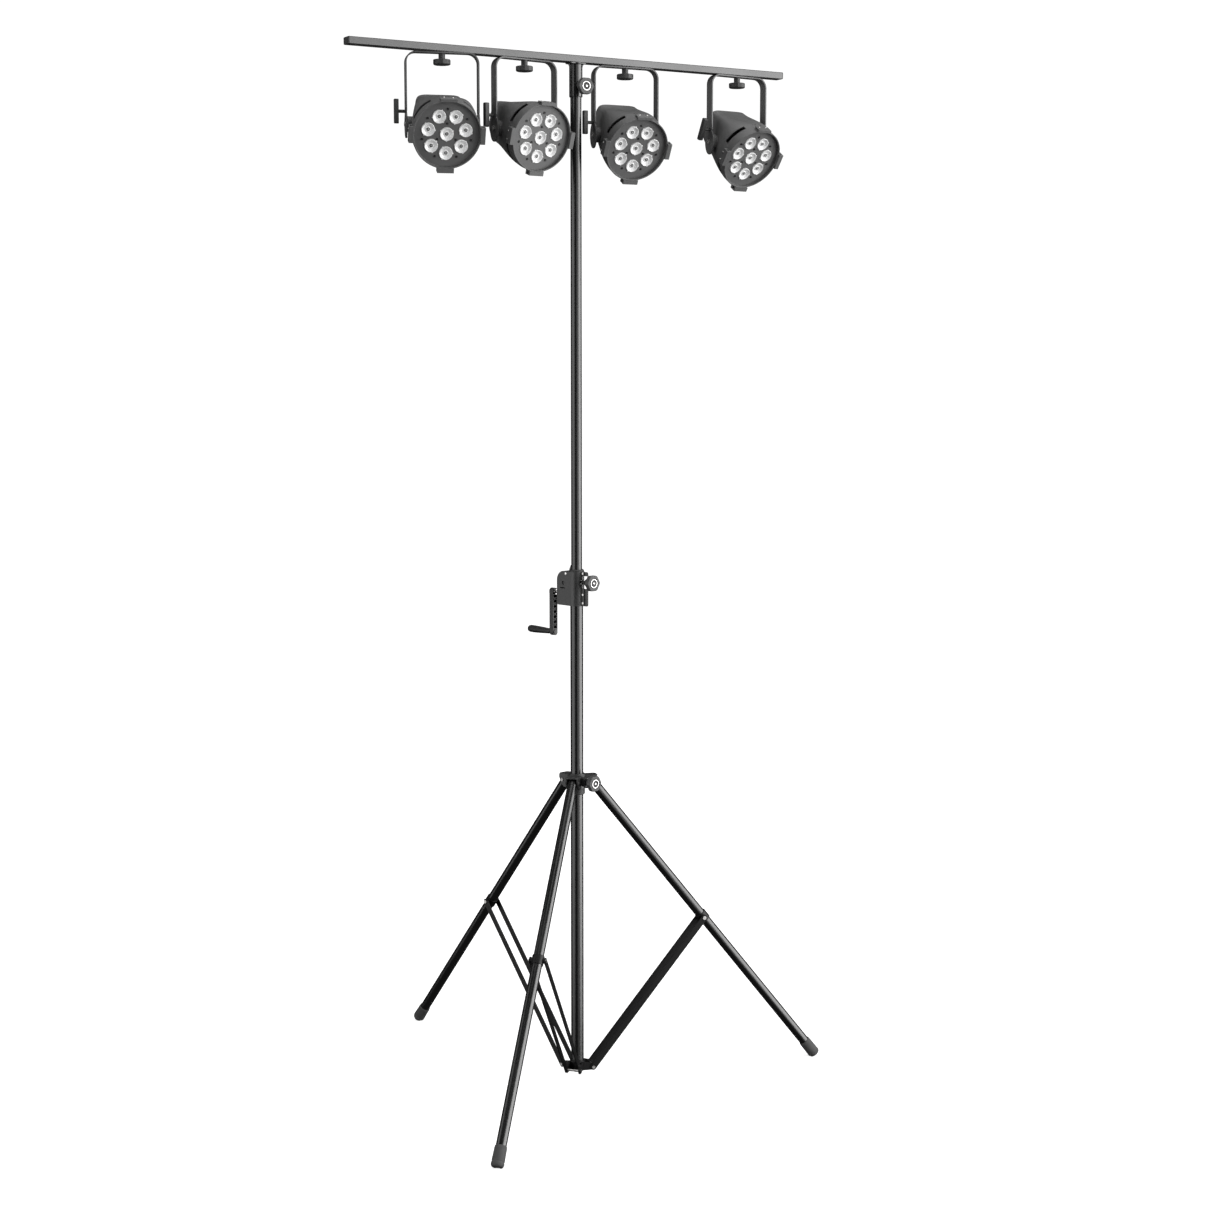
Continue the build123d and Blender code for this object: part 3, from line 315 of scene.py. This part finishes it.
class Shape:
    """A mesh under construction, in millimetres."""

    def __init__(self):
        self.mesh = bmesh.new()

    def ring(self, radius, height, at, segments, ripple):
        if radius < 1e-6:
            return [self.mesh.verts.new(at @ Vector((0, 0, height)))]
        verts = []
        for i in range(segments):
            angle = 2 * math.pi * i / segments
            reach = radius * (ripple(angle, height) if ripple else 1.0)
            spot = Vector((reach * math.cos(angle), reach * math.sin(angle), height))
            verts.append(self.mesh.verts.new(at @ spot))
        return verts

    def turned(self, profile, at, segments=32, ripple=None, slots=None, closed=False):
        """Surface of revolution about z from (radius, height) points; slots names each band's material."""
        rings = [self.ring(radius, height, at, segments, ripple) for radius, height in profile]
        if closed:
            rings.append(rings[0])
        for band, (low, high) in enumerate(zip(rings, rings[1:])):
            for i in range(segments):
                j = (i + 1) % segments
                corners = (low[i % len(low)], low[j % len(low)], high[j % len(high)], high[i % len(high)])
                face = self.mesh.faces.new(list(dict.fromkeys(corners)))
                face.material_index = slots[band] if slots else 0

    def block(self, size, at, bevel):
        """Box with rounded edges."""
        made = bmesh.ops.create_cube(self.mesh, size=1.0, matrix=at @ Matrix.Diagonal((*size, 1.0)))
        edges = list(dict.fromkeys(edge for vert in made["verts"] for edge in vert.link_edges))
        bmesh.ops.bevel(self.mesh, geom=edges, offset=bevel, segments=2, affect="EDGES", profile=0.6)

    def sort_by_place(self):
        """Lists points and faces by place. A few faces of a block otherwise change order from run to run."""
        points = sorted(self.mesh.verts, key=lambda vert: vert.co[:])
        faces = sorted(self.mesh.faces, key=lambda face: sorted(vert.co[:] for vert in face.verts))
        for elements, ordered in ((self.mesh.verts, points), (self.mesh.faces, faces)):
            place = {element: number for number, element in enumerate(ordered)}
            elements.sort(key=place.get)
            elements.index_update()

    def piece(self, name, body, materials, slot, *replaced):
        """Turns the shape into a named object on a CAD body."""
        bmesh.ops.recalc_face_normals(self.mesh, faces=self.mesh.faces)
        for face in self.mesh.faces:
            face.smooth = True
        for edge in self.mesh.edges:
            edge.smooth = edge.calc_face_angle(0.0) < CREASE
        bmesh.ops.scale(self.mesh, vec=(MM, MM, MM), verts=self.mesh.verts)
        data = bpy.data.meshes.new(name)
        self.mesh.to_mesh(data)
        self.mesh.free()
        for material in materials:
            data.materials.append(material)
        made = bpy.data.objects.new(name, data)
        bpy.context.scene.collection.objects.link(made)
        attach(made, body)
        if replaced:
            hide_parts(*replaced)
        return made


SCREW_PROFILE = (
    (0, 0.15), (0.42, 0.15), (0.42, 0.55), (0.70, 0.58), (0.92, 0.40), (1.0, 0.12), (1.0, -0.3), (0, -0.3),
)


def add_screw(shape, at, radius):
    """Domed screw head with a driving socket, its seat at the frame's origin."""
    shape.turned([(r * radius, h * radius) for r, h in SCREW_PROFILE], at, 20)


# ---------------------------------------------------------------- lamps
LENS_CIRCLE = 53.0
LENS_RING = 7
LENS_TABS = 3
TAB_SIZE = (3.6, 3.8, 2.0)
TAB_PLACE = (18.8, 0, 84.5)
LENS_PROFILE = (
    (0.0, 80.2), (18.6, 80.2), (18.6, 85.0), (18.2, 85.9), (17.4, 86.2), (16.0, 85.6), (14.2, 84.0),
    (12.4, 82.4), (10.4, 81.2), (8.6, 80.6), (7.4, 80.8), (6.6, 81.8), (5.8, 82.3), (4.9, 82.2),
    (4.3, 81.6), (3.6, 81.5), (2.4, 82.2), (1.3, 82.7), (0.0, 82.9),
)
LENS_BANDS = (1, 0, 0, 0, 0, 0, 0, 0, 0, 0, 0, 0, 0, 1, 1, 1, 2, 2)


def lens_places():
    """Centres of a lamp's eight lenses, one in the middle and seven round it, as (x, z, turn)."""
    yield 0.0, 0.0, 30.0
    for i in range(LENS_RING):
        angle = 2 * math.pi * i / LENS_RING - math.pi / 2
        yield LENS_CIRCLE * math.cos(angle), LENS_CIRCLE * math.sin(angle), 47.0 * i


def build_optics(number):
    """A lamp's eight lenses with their retaining tabs."""
    shape = Shape()
    for x, z, turn in lens_places():
        at = head_frame(number) @ facing(x, 0, z, TOWARDS_FRONT)
        shape.turned(LENS_PROFILE, at, 40, slots=LENS_BANDS)
        for tab in range(LENS_TABS):
            spin = at @ Matrix.Rotation(math.radians(turn + 120 * tab), 4, "Z")
            shape.block(TAB_SIZE, spin @ Matrix.Translation(TAB_PLACE), 0.8)
    shape.sort_by_place()
    shape.piece(f"lamp_{number}_optics", f"lamp_{number}_head", (OPTIC, OPTIC_CORE, EMITTER), "lens",
                f"lamp_{number}_lenses")


CLIP_RADII = (105.0, 105.0, 105.0, 100.0)
CLIP_Y = -80.0
CLIP_SCREW_SIDES = (-12.0, 12.0)
CLIP_SCREW = 2.4
REAR_Y = 86.0
REAR_SCREW_PLACES = ((-46, 34), (46, 34), (-40, -40), (40, -40))
REAR_SCREW = 3.4
PLATE_Y = -83.5
PLATE_SCREW = 3.6
PLATE_SCREW_RINGS = ((LENS_RING, 69.0, 270.0 + 180.0 / LENS_RING), (3, 29.5, 90.0))


def plate_screw_places():
    """Black screws of the lens plate as (x, z): a ring between the outer lenses, one round the middle."""
    for count, reach, start in PLATE_SCREW_RINGS:
        for i in range(count):
            angle = math.radians(start + 360.0 * i / count)
            yield reach * math.cos(angle), reach * math.sin(angle)


def build_head_trim(number):
    """Clip, rear cover and lens plate screws of one head."""
    shape = Shape()
    head = head_frame(number)
    for quarter, reach in enumerate(CLIP_RADII):
        turn = Matrix.Rotation(math.radians(90 * quarter), 4, "Y")
        for side in CLIP_SCREW_SIDES:
            add_screw(shape, head @ turn @ facing(reach, CLIP_Y, side, (1, 0, 0)), CLIP_SCREW)
    for x, z in REAR_SCREW_PLACES:
        add_screw(shape, head @ facing(x, REAR_Y, z, TOWARDS_BACK), REAR_SCREW)
    shape.piece(f"lamp_{number}_screws", f"lamp_{number}_head", (PLATED,), "bright_steel")
    plate = Shape()
    for x, z in plate_screw_places():
        add_screw(plate, head @ facing(x, PLATE_Y, z, TOWARDS_FRONT), PLATE_SCREW)
    plate.piece(f"lamp_{number}_plate_screws", f"lamp_{number}_head", (PIN_BLACK,), "black_plastic")


SOCKET_PROFILE = (
    (0.0, 79.0), (8.3, 79.0), (8.6, 86.4), (9.2, 87.0), (10.2, 87.0), (10.9, 86.3), (10.9, 82.6),
    (9.4, 82.6), (9.4, 77.5), (0.0, 77.5),
)
SOCKET_SIDES = (-22.0, 22.0)
SOCKET_Z = 22.0
PIN_PROFILE = ((0, 78.6), (1.1, 78.6), (1.1, 83.6), (0.7, 84.2), (0, 84.3))
PIN_BANDS = (1, 1, 1, 1)
PIN_CIRCLE = 4.4
WINDOW_SIZE = (26.6, 2.0, 20.6)
WINDOW_PLACE = (-22.0, 84.4, -20.0)


def build_rear_panel(number):
    """Power and data sockets in the rear holes, and the display window below them."""
    sockets = Shape()
    head = head_frame(number)
    for x in SOCKET_SIDES:
        at = head @ facing(x, 0, SOCKET_Z, TOWARDS_BACK)
        sockets.turned(SOCKET_PROFILE, at, 36)
        for pin in range(3):
            spin = at @ Matrix.Rotation(math.radians(90 + 120 * pin), 4, "Z")
            sockets.turned(PIN_PROFILE, spin @ Matrix.Translation((PIN_CIRCLE, 0, 0)), 12, slots=PIN_BANDS)
    sockets.piece(f"lamp_{number}_sockets", f"lamp_{number}_head", (NYLON, PLATED), "black_plastic")
    window = Shape()
    window.block(WINDOW_SIZE, head @ Matrix.Translation(WINDOW_PLACE), 0.6)
    window.sort_by_place()
    window.piece(f"lamp_{number}_window", f"lamp_{number}_head", (WINDOW,), "black_plastic")


YOKE_BOLT = 6.6

for lamp in LAMP_NUMBERS:
    build_optics(lamp)
    build_head_trim(lamp)
    build_rear_panel(lamp)
    refinish(f"lamp_{lamp}_yoke", PLATED, near_axis(f"lamp_{lamp}_tilt", YOKE_BOLT))


# ---------------------------------------------------------------- winch hardware
# radius round the gear's axle, and the reach from the mast beyond which the crank shaft is its nut, in mm
GEAR_AXLE = 8.0
NUT_REACH = 84.0
refinish("winch_pins", PIN_BLACK, near_axis("gear_turn", GEAR_AXLE))
refinish("worm_shaft", PLATED, lambda centre: math.hypot(centre.x, centre.y) > NUT_REACH * MM)

# ---------------------------------------------------------------- knobs, crank grip and feet
# how far each knob's face is from the mast's axis, in mm
KNOB_FACES = {"winch_knob": 73.5, "sleeve_knob": 63.0, "hub_knob": 79.5}
BADGE_RING = ((10.4, 0.0), (10.4, 0.9), (10.8, 1.4), (11.7, 1.6), (12.6, 1.4), (13.0, 0.9), (13.0, 0.0))
BADGE_DOT = ((0.0, 0.0), (3.6, 0.0), (3.6, 0.9), (2.9, 1.5), (1.6, 1.8), (0.0, 1.9))
BADGE_RADIUS = 14.0
RECESS = 1.0

for knob, face in KNOB_FACES.items():
    turn = joint_frame(f"{knob}_turn")
    reach = math.hypot(turn.translation.x, turn.translation.y)
    at = turn @ Matrix.Translation((0, 0, face - RECESS - reach))
    refinish(knob, GRIP_NYLON, near_axis(f"{knob}_turn", BADGE_RADIUS))
    badge = Shape()
    badge.turned(BADGE_RING, at, 48, closed=True)
    badge.turned(BADGE_DOT, at, 32)
    badge.piece(f"{knob}_badge", knob, (PLATED,), "bright_steel")

GRIP_PROFILE = (
    (4.2, -7.6), (7.3, -7.6), (7.7, -7.0), (7.7, -3.4), (6.9, -2.4), (7.1, -0.6), (8.1, 2.0), (8.9, 15.0),
    (9.9, 35.0), (10.7, 58.0), (11.0, 74.0), (10.7, 82.0), (9.4, 86.2), (6.4, 87.8), (0.0, 88.0),
)
GRIP_FLUTES = 10


def fluted(angle, height):
    """Flats along the grip, fading out at its collar and its end."""
    fade = min(1.0, max(0.0, height / 6.0), max(0.0, (86.0 - height) / 6.0))
    return 1.0 - 0.07 * fade * (0.5 + 0.5 * math.cos(GRIP_FLUTES * angle)) ** 2


grip = Shape()
grip.turned(GRIP_PROFILE, joint_frame("crank_grip_spin"), 80, fluted)
grip.piece("crank_grip_fluted", "crank_grip", (GRIP_NYLON,), "black_plastic", "crank_grip")

FOOT_AXIS_END = 6.0
FOOT_PROFILE = (
    (15.2, -58.0), (15.9, -58.2), (16.7, -57.0), (17.3, -53.0), (17.5, -50.0), (17.6, -40.0), (17.9, -28.0),
    (18.2, -17.0), (17.5, -15.6), (17.2, -14.4), (17.5, -13.2), (18.3, -12.0), (18.4, -8.0), (17.4, -4.0),
    (15.6, -1.4), (13.4, -0.1), (0.0, 0.0),
)
FOOT_RIBS = 36
BRACKET_BOLT = 5.6


def ribbed(angle, height):
    """Fine ribs round the middle of the foot."""
    strength = 0.014 if -51.0 < height < -16.5 else 0.0
    return 1.0 - strength * (0.5 + 0.5 * math.cos(FOOT_RIBS * angle))


for leg in LEG_NUMBERS:
    middle = joint_place(f"leg_{leg}_pivot")
    fold = "leg_fold" if leg == 1 else f"brace_{leg}_fold"
    up = middle - joint_place(fold)
    down = Vector((up.x, up.y, -up.z)).normalized()
    end = middle + down * ((FOOT_AXIS_END - middle.z) / down.z)
    foot = Shape()
    foot.turned(FOOT_PROFILE, facing(*end, down), 144, ribbed)
    for vert in foot.mesh.verts:
        vert.co.z = max(vert.co.z, 0.0)
    foot.piece(f"foot_{leg}_ribbed", f"leg_{leg}", (FOOT_RUBBER,), "rubber", f"foot_{leg}")
    refinish(f"leg_bracket_{leg}", PLATED, near_axis(f"leg_{leg}_pivot", BRACKET_BOLT))

# ---------------------------------------------------------------- weld beads
WELD_SCALLOPS = 34


def scalloped(angle, _height):
    """Ripples along a weld bead."""
    return 1.0 + 0.012 * abs(math.sin(WELD_SCALLOPS / 2 * angle))


def build_weld(name, body, material, slot, radius, height, rise):
    """Bead between a tube and a plate; rise is the side of the plate that it lies on."""
    bead = Shape()
    profile = ((radius, 0.0), (radius + 2.6, 0.0), (radius + 2.2, rise * 0.9), (radius + 1.2, rise * 1.9),
               (radius, rise * 2.6))
    bead.turned(profile, Matrix.Translation((0, 0, height)), 136, scalloped, closed=True)
    bead.piece(name, body, (material,), slot)


FLANGE = 3.0
TUBE_RADIUS = 19.0
flange_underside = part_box("crossbar_sleeve")[1].z / MM - FLANGE
hub_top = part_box("base_hub")[1].z / MM
build_weld("crossbar_sleeve_weld", "crossbar", TUBE_COAT, "black_steel", TUBE_RADIUS, flange_underside, -1)
build_weld("base_hub_weld", "mast", SATIN_BLACK, "black_steel", TUBE_RADIUS, hub_top, 1)

# ---------------------------------------------------------------- studio
FLOOR_HALF = 40.0
NEAR_GLOW = 0.80
FAR_GLOW = 1.05
NEAR_REACH = 1.0
FAR_REACH = 3.5
BACKDROP = 1.05
AMBIENT = 0.05
PANEL_DISTANCE = 9.0
PANEL_HEIGHT = 2.2
KEY = 5.0
FILL = 1.0
SIDE = 1.5
TOP = 1.6
CAMERA_PLACE = (-2.918, -5.259, 2.131)
CAMERA_TURN = (83.28, 0.0, -29.87)
CAMERA_LENS = 61.24


def build_floor():
    """Plain white floor, a little darker near the stand."""
    material, nodes, shader = new_material("studio_floor")
    mottle = nodes.noise(nodes.place(), 3.0, 3.0)
    nodes.feed(shader.inputs["Base Color"], nodes.blend(mottle, grey(0.80), grey(0.83)))
    shader.inputs["Roughness"].default_value = 0.9
    shader.inputs["Emission Color"].default_value = grey(1.0)
    away = nodes.add("ShaderNodeVectorMath", {0: nodes.place()}, operation="LENGTH").outputs["Value"]
    glow = nodes.span(away, NEAR_REACH, FAR_REACH, NEAR_GLOW, FAR_GLOW)
    nodes.feed(shader.inputs["Emission Strength"], glow)
    bpy.ops.mesh.primitive_plane_add(size=2 * FLOOR_HALF, location=(0, 0, -0.0004))
    floor = bpy.context.object
    floor.name = "studio_floor"
    floor.data.materials.append(material)
    floor.visible_glossy = False
    floor.visible_diffuse = False


def build_world():
    """White backdrop for the camera, dim light for everything else."""
    world = bpy.data.worlds.new("studio")
    world.use_nodes = True
    nodes = Tree(world.node_tree)
    dim = nodes.add("ShaderNodeBackground", {"Color": grey(1.0), "Strength": AMBIENT}).outputs[0]
    white = nodes.add("ShaderNodeBackground", {"Color": grey(1.0), "Strength": BACKDROP}).outputs[0]
    seen = nodes.add("ShaderNodeLightPath", {}).outputs["Is Camera Ray"]
    mixed = nodes.add("ShaderNodeMixShader", {0: seen, 1: dim, 2: white}).outputs[0]
    nodes.feed(world.node_tree.nodes["World Output"].inputs["Surface"], mixed)
    bpy.context.scene.world = world


def add_panel(name, azimuth, distance, height, width, tall, radiance):
    """Large soft light facing the mast's middle, sized in metres."""
    data = bpy.data.lights.new(name, "AREA")
    data.shape = "RECTANGLE"
    data.size = width
    data.size_y = tall
    data.energy = radiance * math.pi * width * tall
    light = bpy.data.objects.new(name, data)
    angle = math.radians(azimuth)
    light.location = (distance * math.cos(angle), distance * math.sin(angle), height)
    aim = Vector((0, 0, min(height, 2.0))) - light.location
    light.rotation_euler = aim.to_track_quat("-Z", "Y").to_euler()
    light.visible_camera = False
    bpy.context.scene.collection.objects.link(light)


def build_camera():
    data = bpy.data.cameras.new("camera")
    data.sensor_width = 36.0
    data.lens = CAMERA_LENS
    data.clip_end = 200.0
    camera = bpy.data.objects.new("camera", data)
    camera.location = CAMERA_PLACE
    camera.rotation_euler = [math.radians(angle) for angle in CAMERA_TURN]
    bpy.context.scene.collection.objects.link(camera)
    bpy.context.scene.camera = camera


build_floor()
build_world()
add_panel("key", -42.0, PANEL_DISTANCE, PANEL_HEIGHT, 9.5, 10.0, KEY)
add_panel("fill", -90.0, PANEL_DISTANCE, PANEL_HEIGHT, 6.2, 10.0, FILL)
add_panel("side", 173.0, PANEL_DISTANCE, PANEL_HEIGHT, 10.0, 10.0, SIDE)
add_panel("top", 0.0, 0.01, 8.0, 7.0, 7.0, TOP)
build_camera()
bpy.context.scene.view_settings.view_transform = "Standard"
